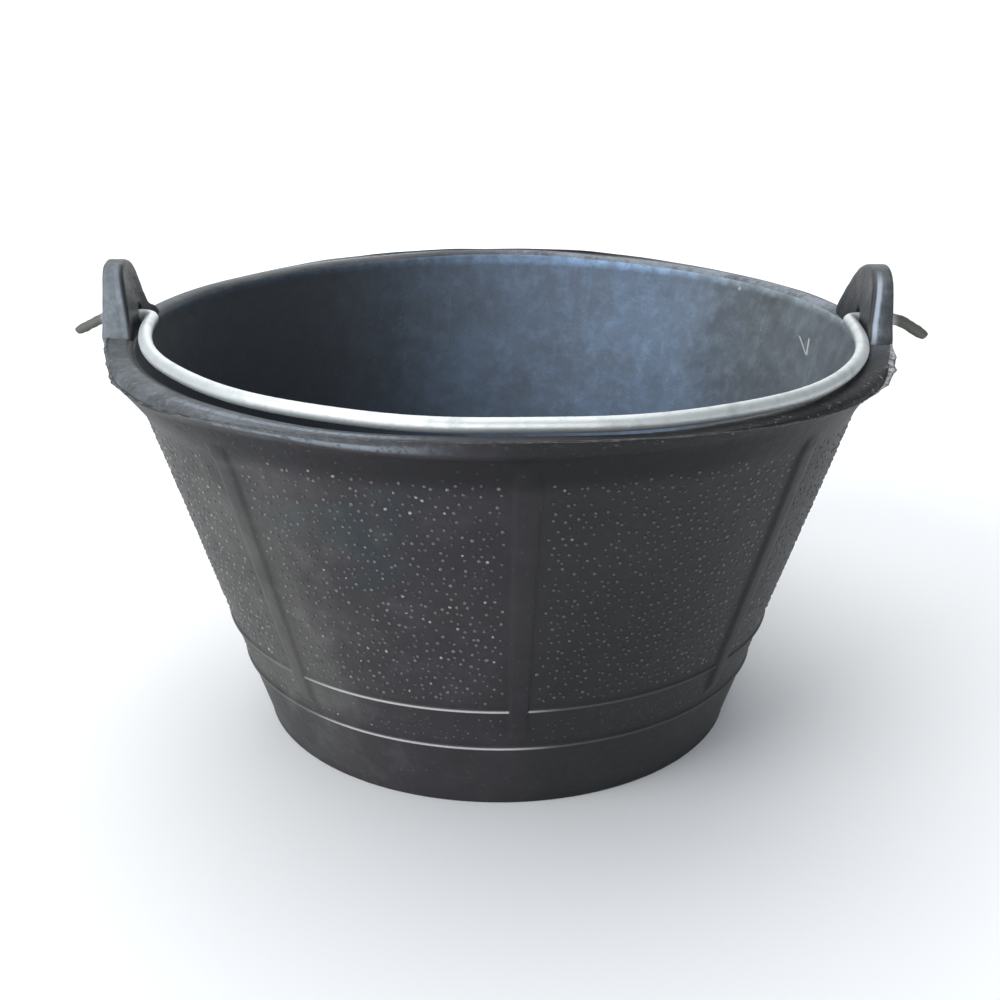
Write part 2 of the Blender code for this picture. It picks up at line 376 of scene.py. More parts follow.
def around(radius, height, angle):
    """Points at a radius and height, at an angle from the front towards the right ear."""
    across = radius * np.sin(angle)
    along = -radius * np.cos(angle)
    return np.stack(np.broadcast_arrays(across, along, height), axis=-1)


def line_up(rows, angle):
    """Two grids, a column for each angle, from rows that are each a pair of numbers or arrays."""
    grids = [[np.broadcast_to(row[part], angle.shape) for row in rows] for part in (0, 1)]
    return np.stack(grids[0]), np.stack(grids[1])


def grid_quads(rows, columns, ring_rows=False, ring_columns=True):
    """Corner numbers of a grid's quads; a ring direction joins its last line to its first."""
    row = np.arange(rows if ring_rows else rows - 1)[:, None]
    column = np.arange(columns if ring_columns else columns - 1)[None, :]
    below = row * columns
    above = (row + 1) % rows * columns
    after = (column + 1) % columns
    quads = np.stack(
        np.broadcast_arrays(below + column, below + after, above + after, above + column), axis=-1
    )
    return quads.reshape(-1, 4)


def pole_fan(pole, first, columns, outwards):
    """Triangles that join a pole to the ring of points that starts at first."""
    ring = first + np.arange(columns)
    following = first + (np.arange(columns) + 1) % columns
    pair = (ring, following) if outwards else (following, ring)
    return np.stack([np.full(columns, pole), *pair], axis=-1)


def add_piece(name, points, faces, materials, body, nodes=()):
    """Make a smooth-shaded piece from points and lists of faces, and put it on its body."""
    mesh = bpy.data.meshes.new(name)
    mesh.from_pydata(points.reshape(-1, 3).tolist(), [], sum([f.tolist() for f in faces], []))
    mesh.validate()
    for material in materials:
        mesh.materials.append(material)
    mesh.polygons.foreach_set("use_smooth", np.ones(len(mesh.polygons), bool))
    piece = bpy.data.objects.new(name, mesh)
    bpy.context.scene.collection.objects.link(piece)
    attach(piece, body)
    if nodes:
        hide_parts(*nodes)
    return piece


# ---------------------------------------------------------------- tub


def rib_offset(angle):
    """Signed angle from a point to its nearest rib's middle line."""
    pitch = math.tau / sizes().ribs
    return (angle - sizes().rib_turn + pitch / 2) % pitch - pitch / 2


def tub_columns():
    """Angles of the tub's columns: close together over the ribs' shoulders, even between."""
    size = sizes()
    pitch = math.tau / size.ribs
    shoulder = np.array([0.2, 0.5, 0.78, 0.9, 1.0, 1.1, 1.22])
    over = np.concatenate([-shoulder[::-1], shoulder]) * size.rib_half
    between = np.linspace(over[-1], pitch + over[0], 52)[1:-1]
    sector = np.concatenate([over, between])
    starts = size.rib_turn + pitch * np.arange(size.ribs)
    return (starts[:, None] + sector[None, :]).reshape(-1)


def off_axis(angle):
    """Angle to the nearer of the front and back middle lines, from 0 to a quarter turn."""
    return np.abs((angle + QUARTER) % math.pi - QUARTER)


def side_share(angle):
    """How far a place is from the front and back: 0 there, and 1 from an eighth turn on."""
    return smooth(off_axis(angle), math.radians(18), math.radians(45))


def parting_line(angle):
    """Radius and height of the lip's outer edge, where the two halves of the mould met.

    It is narrow and high at the front and back, sags towards the shoulders,
    and rises again just before the ears.
    """
    level, droop, spread = 0.2039, 0.0057, 18.7
    away = np.degrees(off_axis(angle))
    narrow = 0.0038 * (1 - smooth(away, 0.0, 38.0))
    tucked = 0.0013 * smooth(away, 62.0, 74.0)
    lowest = 57
    sag = np.where(away < lowest, np.exp(-(((away - lowest) / spread) ** 2)), 1.0)
    behind = 15.0 * smooth(-np.cos(angle), -0.1, 0.1)
    sag = sag * (1 - smooth(away, 62.0 + behind, 71.0 + behind))
    back = 0.0006 * smooth(-np.cos(angle), 0.5, 1.0)
    shake = waves(angle, [(0.22, 7, 0.3), (0.15, 13, 1.9), (0.10, 29, 0.2)]) * MM
    radius = sizes().rim_radius - narrow + shake * 0.5 - tucked
    height = level - 0.0011 * smooth(away, 5.0, 30.0) - droop * sag + back
    return radius, height + shake


def wall_radius(height):
    """Radius of the plain outer cone: base radius + taper * height."""
    return sizes().base_radius + sizes().taper * height


def bead_height(height):
    """Rise of the rings: a ridge of cosine to the power 1.4 over each ring's half width."""
    size = sizes()
    rise = 0.0
    for middle in (size.bead_low, size.bead_high):
        share = np.clip(np.abs(height - middle) / size.bead_width, 0.0, 1.0)
        rise = rise + size.bead_rise * np.cos(share * QUARTER) ** 1.4
    return rise


def rib_height(angle, height):
    """Rise of the ribs: a flat strap with round shoulders that fades at both ends."""
    size = sizes()
    across = np.abs(rib_offset(angle)) / size.rib_half
    strap = 1 - smooth(across, 0.74, 1.08)
    side = smooth(np.degrees(off_axis(angle)), 20.0, 45.0)
    arch = size.rib_top - 0.003 * across**2 - 0.006 * side
    ends = smooth(height, size.rib_bottom - 0.002, size.rib_bottom + 0.002)
    ends = ends * (1 - smooth(height, arch - 0.003, arch + 0.0015))
    crown = 1 - 0.18 * across**2
    return size.rib_rise * strap * ends * crown


def wall_wave(angle, height):
    """Slow unevenness of a soft moulding, a few tenths of a millimetre."""
    slow = waves(angle, [(0.16, 3, 0.4), (0.12, 5, 2.1), (0.07, 11, 1.0)])
    upright = np.sin(height * 41.0 + 2.0 * np.sin(2 * angle))
    return (slow + 0.10 * upright) * MM * smooth(height, 0.004, 0.03)


def flare(angle, height):
    """Extra radius below the lip at the shoulders: the wall leans out there from 175 mm up."""
    start, rise = 0.175, 0.022
    share = np.clip((height - start) / rise, 0.0, 1.2)
    away = np.degrees(off_axis(angle))
    window = smooth(away, 26.0, 54.0) * (1 - 0.45 * smooth(away, 60.0, 76.0))
    right = smooth(np.sin(angle), -0.5, 0.5)
    left_lean = 0.0098 * share**1.05
    right_lean = 0.0078 * share**1.6
    return window * (left_lean * (1 - right) + right_lean * right)


def outer_wall(angle):
    """Rows of the outer wall from the base's edge up to under the lip, as radius and height."""
    size = sizes()
    bead = np.array([-1.3, -1.0, -0.66, -0.33, 0.0, 0.33, 0.66, 1.0, 1.3]) * size.bead_width
    levels = [
        np.array([0.0022, 0.006, 0.012, 0.019, 0.026]),
        size.bead_low + bead,
        np.array([0.0405, 0.0425, 0.0445, 0.0465, 0.0485, 0.052]),
        size.bead_high + bead,
        np.linspace(0.066, PANEL_TOP, 30),
    ]
    height = np.concatenate(levels)[:, None]
    relief = np.maximum(bead_height(height), rib_height(angle, height))
    radius = wall_radius(height) + relief + wall_wave(angle, height) + flare(angle, height)
    return radius, np.broadcast_to(height, radius.shape)


def lip_underside(angle, drop):
    """Rows from the panels' top up the dark neck and the lip's underside to the parting line."""
    side = side_share(angle)
    edge, line = parting_line(angle)
    rows = []
    for level in NECK_LEVELS:
        radius = wall_radius(level) + flare(angle, level) + rib_height(angle, level)
        rows.append((radius, level))
    for front_out, front_up, side_out, side_up in LIP_BAND:
        level = front_up * (1 - side) + side_up * side
        level = level + drop + side * (line - 0.1972) * (side_up - 0.19) / 0.0064
        lean = wall_radius(level) + flare(angle, np.minimum(level, 0.197))
        out = lean + front_out * (1 - side) + side_out * side
        rows.append((np.minimum(out, edge - 0.0006), level))
    under = 0.0016 * (1 - side) + 0.0005 * side
    rows.append((edge - 0.0009, line - under - 0.0004))
    rows.append((edge - 0.0003, line - under * 0.4))
    rows.append((edge, line))
    return rows


def lip_top(angle, drop):
    """Rows from the parting line up a quarter of a rounded ellipse and down into the mouth."""
    size = sizes()
    side = side_share(angle)
    edge, line = parting_line(angle)
    crest_radius = CREST_RADIUS - CREST_DRAW * side
    middle = 1 - smooth(np.degrees(off_axis(angle)), 4.0, 24.0)
    crest = size.height + 0.0014 * middle - 0.0004 * side + drop * 0.3
    rows = []
    for step in range(1, 8):
        lean = QUARTER * (1 - step / 7)
        reach = math.sin(lean) ** 0.8
        rise = math.cos(lean) ** 0.8
        radius = crest_radius + (edge - 0.0002 - crest_radius) * reach
        rows.append((radius, line + 0.0003 + (crest - line - 0.0003) * rise))
    inner = crest_radius - size.mouth_radius
    for step in range(1, 8):
        lean = QUARTER * step / 7
        radius = size.mouth_radius + inner * (1 - math.sin(lean))
        rows.append((radius, crest - MOUTH_DROP * (1 - math.cos(lean))))
    return rows


def lip_rows(angle):
    """Rows of the lip from the wall's top, out to the parting line and over to the mouth.

    At the front and back the lip is an upright band over a narrow ledge. At the
    shoulders it droops: its top runs down to the parting line, and its underside
    runs into the flared wall.
    """
    drop = waves(angle, [(0.20, 9, 0.9), (0.12, 17, 0.4)]) * MM
    return line_up(lip_underside(angle, drop) + lip_top(angle, drop), angle)


def inner_rows(angle):
    """Rows of the inner wall from the mouth down to the floor's round, then to the middle."""
    size = sizes()
    foot = wall_radius(size.floor + FLOOR_ROUND) - size.wall
    share = np.linspace(0.04, 1.0, 30)[:, None]
    top = size.height - MOUTH_DROP
    height = top + (size.floor + FLOOR_ROUND - top) * share
    radius = size.mouth_radius + (foot - size.mouth_radius) * share
    radius = radius + wall_wave(angle + 1.0, height) * 1.3 * smooth(share, 0.0, 0.25)
    rows = []
    for step in range(1, 7):
        lean = QUARTER * step / 6
        level = size.floor + FLOOR_ROUND * (1 - math.sin(lean))
        rows.append((foot - FLOOR_ROUND * (1 - math.cos(lean)), level))
    rows += [(ring, size.floor + 0.00025 * math.sin(ring * 90)) for ring in FLOOR_RINGS]
    ring, level = line_up(rows, angle)
    height = np.broadcast_to(height, radius.shape)
    return np.concatenate([radius, ring]), np.concatenate([height, level])


def under_rows(angle):
    """Rows of the underside from the middle out: a shallow round recess inside a foot ring."""
    edge = wall_radius(0.002)
    corner = ((edge - 0.0012, 0.0), (edge - 0.0004, 0.0002), (edge + 0.0001, 0.0008))
    return line_up(FOOT_RINGS + corner, angle)


def tub_surface():
    """The tub as one closed grid: a section carried round the axis, with a pole at each end."""
    angle = tub_columns()
    sections = [under_rows(angle), outer_wall(angle), lip_rows(angle), inner_rows(angle)]
    radius = np.concatenate([section[0] for section in sections])
    height = np.concatenate([section[1] for section in sections])
    rows, columns = radius.shape
    ring = around(radius, height, angle[None, :]).reshape(-1, 3)
    poles = np.array([[0.0, 0.0, RECESS], [0.0, 0.0, sizes().floor]])
    points = np.concatenate([ring, poles])
    quads = grid_quads(rows, columns)
    bottom = pole_fan(rows * columns, 0, columns, outwards=False)
    top = pole_fan(rows * columns + 1, (rows - 1) * columns, columns, outwards=True)
    inside_row = rows - len(sections[3][0]) - MOUTH_INSIDE_ROWS
    return points, [quads, bottom, top], inside_row * columns


def make_tub():
    """Tub shell with the outside rubber first and the inside rubber from the mouth's round on."""
    points, faces, inner_from = tub_surface()
    materials = [outside_rubber("tub_outside"), inside_rubber("tub_inside")]
    shell = add_piece("tub_shell", points, faces, materials, "bucket", ["tub"])
    number = np.arange(len(shell.data.polygons))
    fan = 2 * len(tub_columns())
    quads = len(number) - fan
    inside = (number >= inner_from) & (number < quads) | (number >= quads + fan // 2)
    shell.data.polygons.foreach_set("material_index", inside.astype(np.int32))
    shell.data.update()


# ---------------------------------------------------------------- pips


def pip_places(random):
    """Angle, height and size of each pip: an even grid in each panel, shaken and thinned."""
    size = sizes()
    pitch = math.tau / size.ribs
    margin = size.rib_half + math.radians(1.1)
    panels, places = np.arange(size.ribs), []
    # Each band's bottom and top, its rows and columns, its pips' scale and the share left out.
    bands = [
        (size.bead_high + 0.0042, 0.1832, size.pip_rows, size.pip_columns, 1.0, 0.10),
        (size.bead_low + 0.0045, size.bead_high - 0.0045, 4, 20, 0.62, 0.35),
    ]
    for low, high, rows, columns, scale, missing in bands:
        cell_up = (high - low) / rows
        cell_round = (pitch - 2 * margin) / columns
        row, column, panel = np.meshgrid(
            np.arange(rows), np.arange(columns), panels, indexing="ij"
        )
        shake = random.uniform(-0.33, 0.33, (2, *row.shape))
        stagger = 0.5 * (row % 2) - 0.25
        height = low + cell_up * (row + 0.5 + shake[0])
        angle = margin + cell_round * (column + 0.5 + stagger + shake[1])
        angle = angle + size.rib_turn + panel * pitch
        big = scale * random.uniform(0.78, 1.18, row.shape)
        keep = random.uniform(0.0, 1.0, row.shape) > missing
        places.append(np.stack([angle[keep], height[keep], big[keep]]))
    return np.concatenate(places, axis=1)


def pip_shape():
    """Unit pip: a sunk foot ring, a shoulder ring and a crown, six points to a ring."""
    sunk, shoulder_up, shoulder_radius = -0.15, 0.68, 0.66
    turns = np.arange(6) * math.tau / 6
    foot = np.stack([np.cos(turns), np.sin(turns), np.full(6, sunk)], axis=-1)
    shoulder = np.stack([np.cos(turns), np.sin(turns), np.full(6, shoulder_up)], axis=-1)
    shoulder[:, :2] *= shoulder_radius
    points = np.concatenate([foot, shoulder, [[0.0, 0.0, 1.0]]])
    sides = grid_quads(2, 6)
    crown = pole_fan(12, 6, 6, outwards=True)
    base = np.arange(6)[::-1][None, :]
    return points, sides, crown, base


def make_pips():
    """Grip pips: the unit pip stood on the wall at each place, along the wall's own slope."""
    size = sizes()
    angle, height, big = pip_places(np.random.default_rng(41))
    shape, sides, crown, base = pip_shape()
    radius = wall_radius(height) + wall_wave(angle, height)
    foot = around(radius, height, angle)
    tilt = math.hypot(1.0, size.taper)
    level = np.zeros_like(angle)
    along = around(np.ones_like(angle), level, angle + QUARTER)
    outward = around(np.ones_like(angle) / tilt, level - size.taper / tilt, angle)
    upward = around(np.full_like(angle, size.taper / tilt), level + 1 / tilt, angle)
    wide = shape[None, :, :] * (big * size.pip_radius)[:, None, None]
    tall = shape[None, :, 2] * (big * size.pip_rise)[:, None]
    points = foot[:, None, :] + wide[:, :, :1] * along[:, None, :]
    points = points + wide[:, :, 1:2] * upward[:, None, :] + tall[:, :, None] * outward[:, None, :]
    first = np.arange(len(angle))[:, None, None] * len(shape)
    faces = [
        (sides[None, :, :] + first).reshape(-1, 4),
        (crown[None, :, :] + first).reshape(-1, 3),
        (base[None, :, :] + first).reshape(-1, 6),
    ]
    add_piece("grip_pips", points, faces, [pip_rubber()], "bucket")


# ---------------------------------------------------------------- flash on the rim


def ragged(angle, random, knots, low, high, power):
    """Random heights joined by straight runs round the ring, most of them low."""
    level = low + (high - low) * random.uniform(0.0, 1.0, knots) ** power
    place = np.linspace(-math.pi, math.pi, knots + 1)
    return np.interp(angle, place, np.append(level, level[0]))


def make_flash():
    """Thin torn fin along the parting line: a lens-shaped section whose width is ragged."""
    random = np.random.default_rng(7)
    angle = np.linspace(-math.pi, math.pi, 1500, endpoint=False)
    side = side_share(angle)
    edge, level = parting_line(angle)
    reach = ragged(angle, random, 420, 0.10, 0.9, 3.0)
    reach = reach + ragged(angle, random, 90, 0.0, 0.7, 2.5)
    # Both bulges are bells round an angle: wide and crumbled before the right ear, small
    # before the left one.
    right_place, right_span, left_place, left_span = 1.18, 0.11, -1.15, 0.28
    torn = 2.9 * np.exp(-(((angle - right_place) / right_span) ** 2))
    torn = torn * (0.5 + ragged(angle, random, 260, 0.0, 0.6, 1.0))
    frayed = 0.6 * np.exp(-(((angle - left_place) / left_span) ** 2))
    reach = (reach * (0.35 + 0.65 * side) + torn + frayed) * MM
    sag = ragged(angle, random, 200, -0.35, 0.25, 1.0) * MM
    root, thick, thin = 0.0009, 0.0004, 0.00016
    rows = [
        (edge - root, level - thick),
        (edge + reach * 0.5, level - thin + sag * 0.4),
        (edge + reach, level + sag),
        (edge + reach * 0.5, level + thin + sag * 0.4),
        (edge - root, level + thick),
    ]
    points = around(*line_up(rows, angle), angle[None, :])
    faces = [grid_quads(len(rows), len(angle), ring_rows=True)]
    add_piece("rim_flash", points, faces, [flash_rubber()], "bucket")


# ---------------------------------------------------------------- ears


def ear_outline(turns, points):
    """Distance from the eye to the ear's outline at each angle, smoothed through given points."""
    span = np.arctan2(points[:, 1], points[:, 0])
    reach = np.hypot(points[:, 0], points[:, 1])
    order = np.argsort(span)
    wide = np.concatenate([span[order] - math.tau, span[order], span[order] + math.tau])
    line = np.interp(turns, wide, np.tile(reach[order], 3))
    for _ in range(3):
        line = (np.roll(line, 1) + line * 2 + np.roll(line, -1)) / 4
    return line


def ear_section(turns, outline):
    """Rows of an ear: distance from the eye's axis, and place across the plate.

    They run from the eye over the inner face, round the outline's edge, back over
    the outer face to the eye, and through the eye to the start. The eye is worn
    wider towards the top and back.
    """
    gape = np.clip(np.cos(turns - math.radians(55)), 0, 1) ** 3
    eye = sizes().eye_radius + 0.0014 * gape
    face = outline - EAR_ROUND - eye
    shares = (0.0, 0.05, 0.14, 0.3, 0.5, 0.7, 0.86, 1.0)
    inner = [(eye + face * share, -EAR_HALF + 0.0004 * (share == 0)) for share in shares]
    outer = [(reach, -across) for reach, across in reversed(inner)]
    edge = []
    for step in range(1, 10):
        lean = math.pi * step / 10
        push = EAR_ROUND * math.sin(lean) ** 0.8
        sunk = EAR_ROUND * (1 - abs(math.cos(lean)))
        across = EAR_HALF - sunk if lean >= QUARTER else sunk - EAR_HALF
        edge.append((outline - EAR_ROUND + push, across))
    through = [(eye, EAR_HALF * 0.4), (eye, -EAR_HALF * 0.4)]
    return inner + edge + outer + through


def ear_surface(side, points, random):
    """One ear as a ring-shaped grid: angle round the eye by a section of the plate.

    The plate's middle is at place + lean * up - along^2 / (2 * bow radius), and its
    outer face thickens towards the foot.
    """
    turns = np.linspace(-math.pi, math.pi, 168, endpoint=False)
    outline = ear_outline(turns, points)
    outline = outline + ragged(turns, random, 60, -0.12, 0.12, 1.0) * MM
    section = ear_section(turns, outline)
    reach, across = line_up(section, turns)
    along = reach * np.cos(turns)
    up = reach * np.sin(turns)
    foot_top, foot_run = 0.028, 0.032
    foot = np.clip((foot_top - up) / foot_run, 0.0, 1.0)
    outer = np.clip(across / EAR_HALF, 0.0, 1.0)
    spread = 0.0052 if side < 0 else 0.0030
    across = across + outer * foot**1.2 * spread
    lean = EAR_PLACE + EAR_LEAN * up - along**2 / (2 * EAR_BOW_RADIUS)
    wave = 0.00018 * np.sin(along * 260) * np.cos(up * 190)
    place = side * (lean + across + wave)
    points = np.stack([place, along, up + sizes().eye_height], axis=-1)
    return points, len(section), len(turns)


def make_ears():
    """Both carrying ears; the right one is broader, and the left one narrower and taller."""
    for name, side in (("right", 1), ("left", -1)):
        random = np.random.default_rng(17 + side)
        points, rows, columns = ear_surface(side, np.array(EAR_OUTLINES[name]) * MM, random)
        quads = grid_quads(rows, columns, ring_rows=True)
        quads = quads if side < 0 else quads[:, ::-1]
        label = f"ear_{name}"
        material = ear_rubber(f"{label}_rubber", side)
        add_piece(f"{label}_skin", points, [quads], [material], "bucket", [label])


# ---------------------------------------------------------------- bail


def half_bow(side, width, power):
    """Half of the bail's bow, from its middle to the eye: |x/width|^n + |y/reach|^n = 1."""
    angle = np.linspace(0.0, QUARTER, 160)
    across = width * np.sin(angle) ** (2 / power)
    along = sizes().bail_reach * np.cos(angle) ** (2 / power)
    return np.stack([side * across, -along, np.zeros_like(angle)], axis=-1)


def eye_bend(side, width, bend):
    """Quarter turn from the bow's end out into the eye, with the axis at the end."""
    angle = np.linspace(0.0, QUARTER, 12)
    across = width + bend * (1 - np.cos(angle))
    along = -bend + bend * np.sin(angle)
    return np.stack([side * across, along, np.zeros_like(angle)], axis=-1)


def tail(side, start, radius, degrees, run):
    """Wire beyond the ear: an arc downwards from where the straight ends, then a short run."""
    turned = math.radians(degrees)
    angle = np.linspace(0.0, turned, 12)
    across = start + radius * np.sin(angle)
    down = radius * (1 - np.cos(angle))
    arc = np.stack([side * across, np.zeros_like(angle), -down], axis=-1)
    direction = np.array([side * math.cos(turned), 0.0, -math.sin(turned)])
    return np.concatenate([arc, [arc[-1] + direction * run]])


def half_bail(side):
    """One side of the bail: half the bow without its last points, the bend and the tail."""
    bent = BAIL_SIDES[side]
    bow = half_bow(side, bent["width"], bent["power"])[:-4]
    bend = eye_bend(side, bent["width"], bent["bend"])
    return np.concatenate([bow, bend, tail(side, *bent["tail"])])


def even_path(points, spacing):
    """The same path with points an even distance apart."""
    steps = np.linalg.norm(np.diff(points, axis=0), axis=1)
    points = points[np.concatenate([[True], steps > 1e-7])]
    steps = np.linalg.norm(np.diff(points, axis=0), axis=1)
    run = np.concatenate([[0.0], np.cumsum(steps)])
    place = np.linspace(0.0, run[-1], max(2, int(run[-1] / spacing)))
    return np.stack([np.interp(place, run, points[:, axis]) for axis in range(3)], axis=-1)


def soften(points, rounds):
    """Even out a path by moving each point towards its neighbours' middle."""
    for _ in range(rounds):
        inner = (points[:-2] + 2 * points[1:-1] + points[2:]) / 4
        points = np.concatenate([points[:1], inner, points[-1:]])
    return points


def bail_path():
    """The bail's whole centre line, from the left tail's end to the right one's."""
    whole = np.concatenate([half_bail(-1)[::-1], half_bail(1)[1:]])
    path = soften(even_path(whole, BAIL_SPACING), 3)
    share = np.linspace(-1.0, 1.0, len(path))
    inside = 1 - smooth(np.abs(share), 0.80, 0.88)
    path[:, 2] += 0.00006 * np.sin(share * 9) * inside
    path[:, 1] += 0.0005 * np.sin(share * 23 + 1) * inside
    return path


def wire_radii(path, random):
    """The wire's radius at each point: dented a little, thinner and knobbly past the ears."""
    across = path[:, 0, None, None]
    radius = np.full((len(path), WIRE_SIDES, 1), sizes().wire_radius)
    radius = radius * (1 + random.uniform(-0.008, 0.008, radius.shape))
    left, right = smooth(-across, 0.196, 0.201), smooth(across, 0.197, 0.202)
    radius = radius * (1 - 0.26 * left - 0.14 * right)
    knobs = random.uniform(-0.07, 0.07, radius.shape) * smooth(np.abs(across), 0.198, 0.203)
    return radius * (1 + knobs)


def tube(path, radius):
    """Rings round a path: each ring's centre is a path point, across the path's direction."""
    along = np.gradient(path, axis=0)
    along /= np.linalg.norm(along, axis=1)[:, None]
    up = np.tile([0.0, 0.0, 1.0], (len(path), 1))
    across = np.cross(along, up)
    across /= np.linalg.norm(across, axis=1)[:, None]
    up = np.cross(across, along)
    turns = np.arange(WIRE_SIDES) * math.tau / WIRE_SIDES
    ring = across[:, None, :] * np.cos(turns)[None, :, None]
    ring = ring + up[:, None, :] * np.sin(turns)[None, :, None]
    return path[:, None, :] + ring * radius, along


def pinch_ends(ring, path):
    """Draw the last rings at both ends in, more in height than sideways, as cutters do."""
    for end, inward in ((0, 1), (-1, -1)):
        for step, scale in enumerate(CUT_PINCH):
            row = end + inward * step
            offset = ring[row] - path[row]
            offset[:, 2] *= scale
            offset[:, 1] *= 0.9 + 0.1 * scale
            ring[row] = path[row] + offset


def make_bail():
    """Bail wire: a round tube along the bow, closed at its pinched ends by low cones."""
    path = bail_path()
    ring, along = tube(path, wire_radii(path, np.random.default_rng(5)))
    pinch_ends(ring, path)
    poles = np.stack([path[0] - along[0] * CUT_BULGE, path[-1] + along[-1] * CUT_BULGE])
    points = np.concatenate([ring.reshape(-1, 3), poles])
    points[:, 2] += sizes().eye_height
    first = len(path) * WIRE_SIDES
    faces = [
        grid_quads(len(path), WIRE_SIDES)[:, ::-1],
        pole_fan(first, 0, WIRE_SIDES, outwards=True),
        pole_fan(first + 1, first - WIRE_SIDES, WIRE_SIDES, outwards=False),
    ]
    add_piece("bail_wire", points, faces, [galvanised_wire()], "bail", ["bail"])


# ---------------------------------------------------------------- finishes


def from_axis(x, y):
    """Distance from the tub's axis."""
    return (x * x + y * y) ** 0.5


def rib_mask(x, y):
    """1 on a rib's strap and 0 on the panels, from the angle to the nearest rib."""
    size = sizes()
    half = math.pi / size.ribs
    turned = x.maths("ARCTAN2", x, 0 - y) - size.rib_turn
    offset = abs(turned.maths("WRAP", turned, half, -half))
    return 1 - offset.step(size.rib_half * 0.8, size.rib_half * 1.05)


def ring_wear_and_highlight(x, y, z, to_left, crumb):
    """Painted highlight on the raised rings over a faint pale wear: a thin light line at the front
    left that dies away.
    """
    size = sizes()
    # Painted highlight: the line shines only at the front left, where it catches the light.
    shine = to_left.step(-0.22, -0.02) * (1 - to_left.step(0.50, 0.70))
    level = 0.09 + 0.12 * to_left.step(-0.5, 0.2) + 0.80 * shine
    upper = 1 - abs(z - size.bead_high - 0.0002).step(0.0002, 0.0008)
    lower = 1 - abs(z - size.bead_low - 0.0002).step(0.0002, 0.0008)
    return (upper * (1 - rib_mask(x, y)) + lower) * level * (0.72 + 0.4 * crumb)


def rim_bloom_and_sheen(z, spread, to_left, to_front, patch, crumb):
    """Bloom and painted sheen on the rim's top: strong at the left and the back right, thin at the
    front right, with a painted highlight along the crest at the front left.
    """
    back = 1 - to_front.step(-0.35, 0.15)
    outside = spread.step(0.1835, 0.1850)
    top = z.step(0.1962, 0.1985) * (outside + back * (1 - outside))
    right = (0 - to_left).step(-0.25, 0.30)
    inward = 1 - spread.step(0.1868, 0.1895)
    # Painted sheen: strongest where the tops face the light, at the left, and on the back right's
    # inner edge.
    share = 0.02 + 0.90 * to_left.step(-0.06, 0.50) * (1 - 0.65 * back)
    share = share + 2.0 * back * right * inward
    share = share + 0.8 * (0 - to_left).step(0.93, 0.985) * (1 - back)
    film_and_sheen = 0.16 + patch.step(0.30, 0.70) * 0.34 + crumb.step(0.40, 0.75) * 0.34
    # Painted highlight along the crest at the front left.
    crest = spread.step(0.1868, 0.1880) * (1 - spread.step(0.1896, 0.1912))
    crest_highlight = crest * to_left.step(0.08, 0.30) * (1 - to_left.step(0.62, 0.80))
    return top * film_and_sheen * share + top * crest_highlight * crumb.step(0.30, 0.52) * 0.85


def oily_rubber(paint, place, z, to_left, to_front, patch):
    """Plain rubber with a faint violet tint at the front left and teal patches in it."""
    tone = colours()
    tinted = to_left.step(-0.20, 0.05) * (1 - to_left.step(0.45, 0.75)) * to_front.step(0.1, 0.6)
    teal = paint.noise(place, 21.0, 4.0, 0.6).step(0.50, 0.62) * z.step(0.09, 0.12)
    teal = teal * to_left.step(0.10, 0.22)
    base = paint.blend(tinted * patch.step(0.2, 0.6), tone.rubber, tone.violet)
    return paint.blend(tinted * teal * 0.8, base, tone.teal)


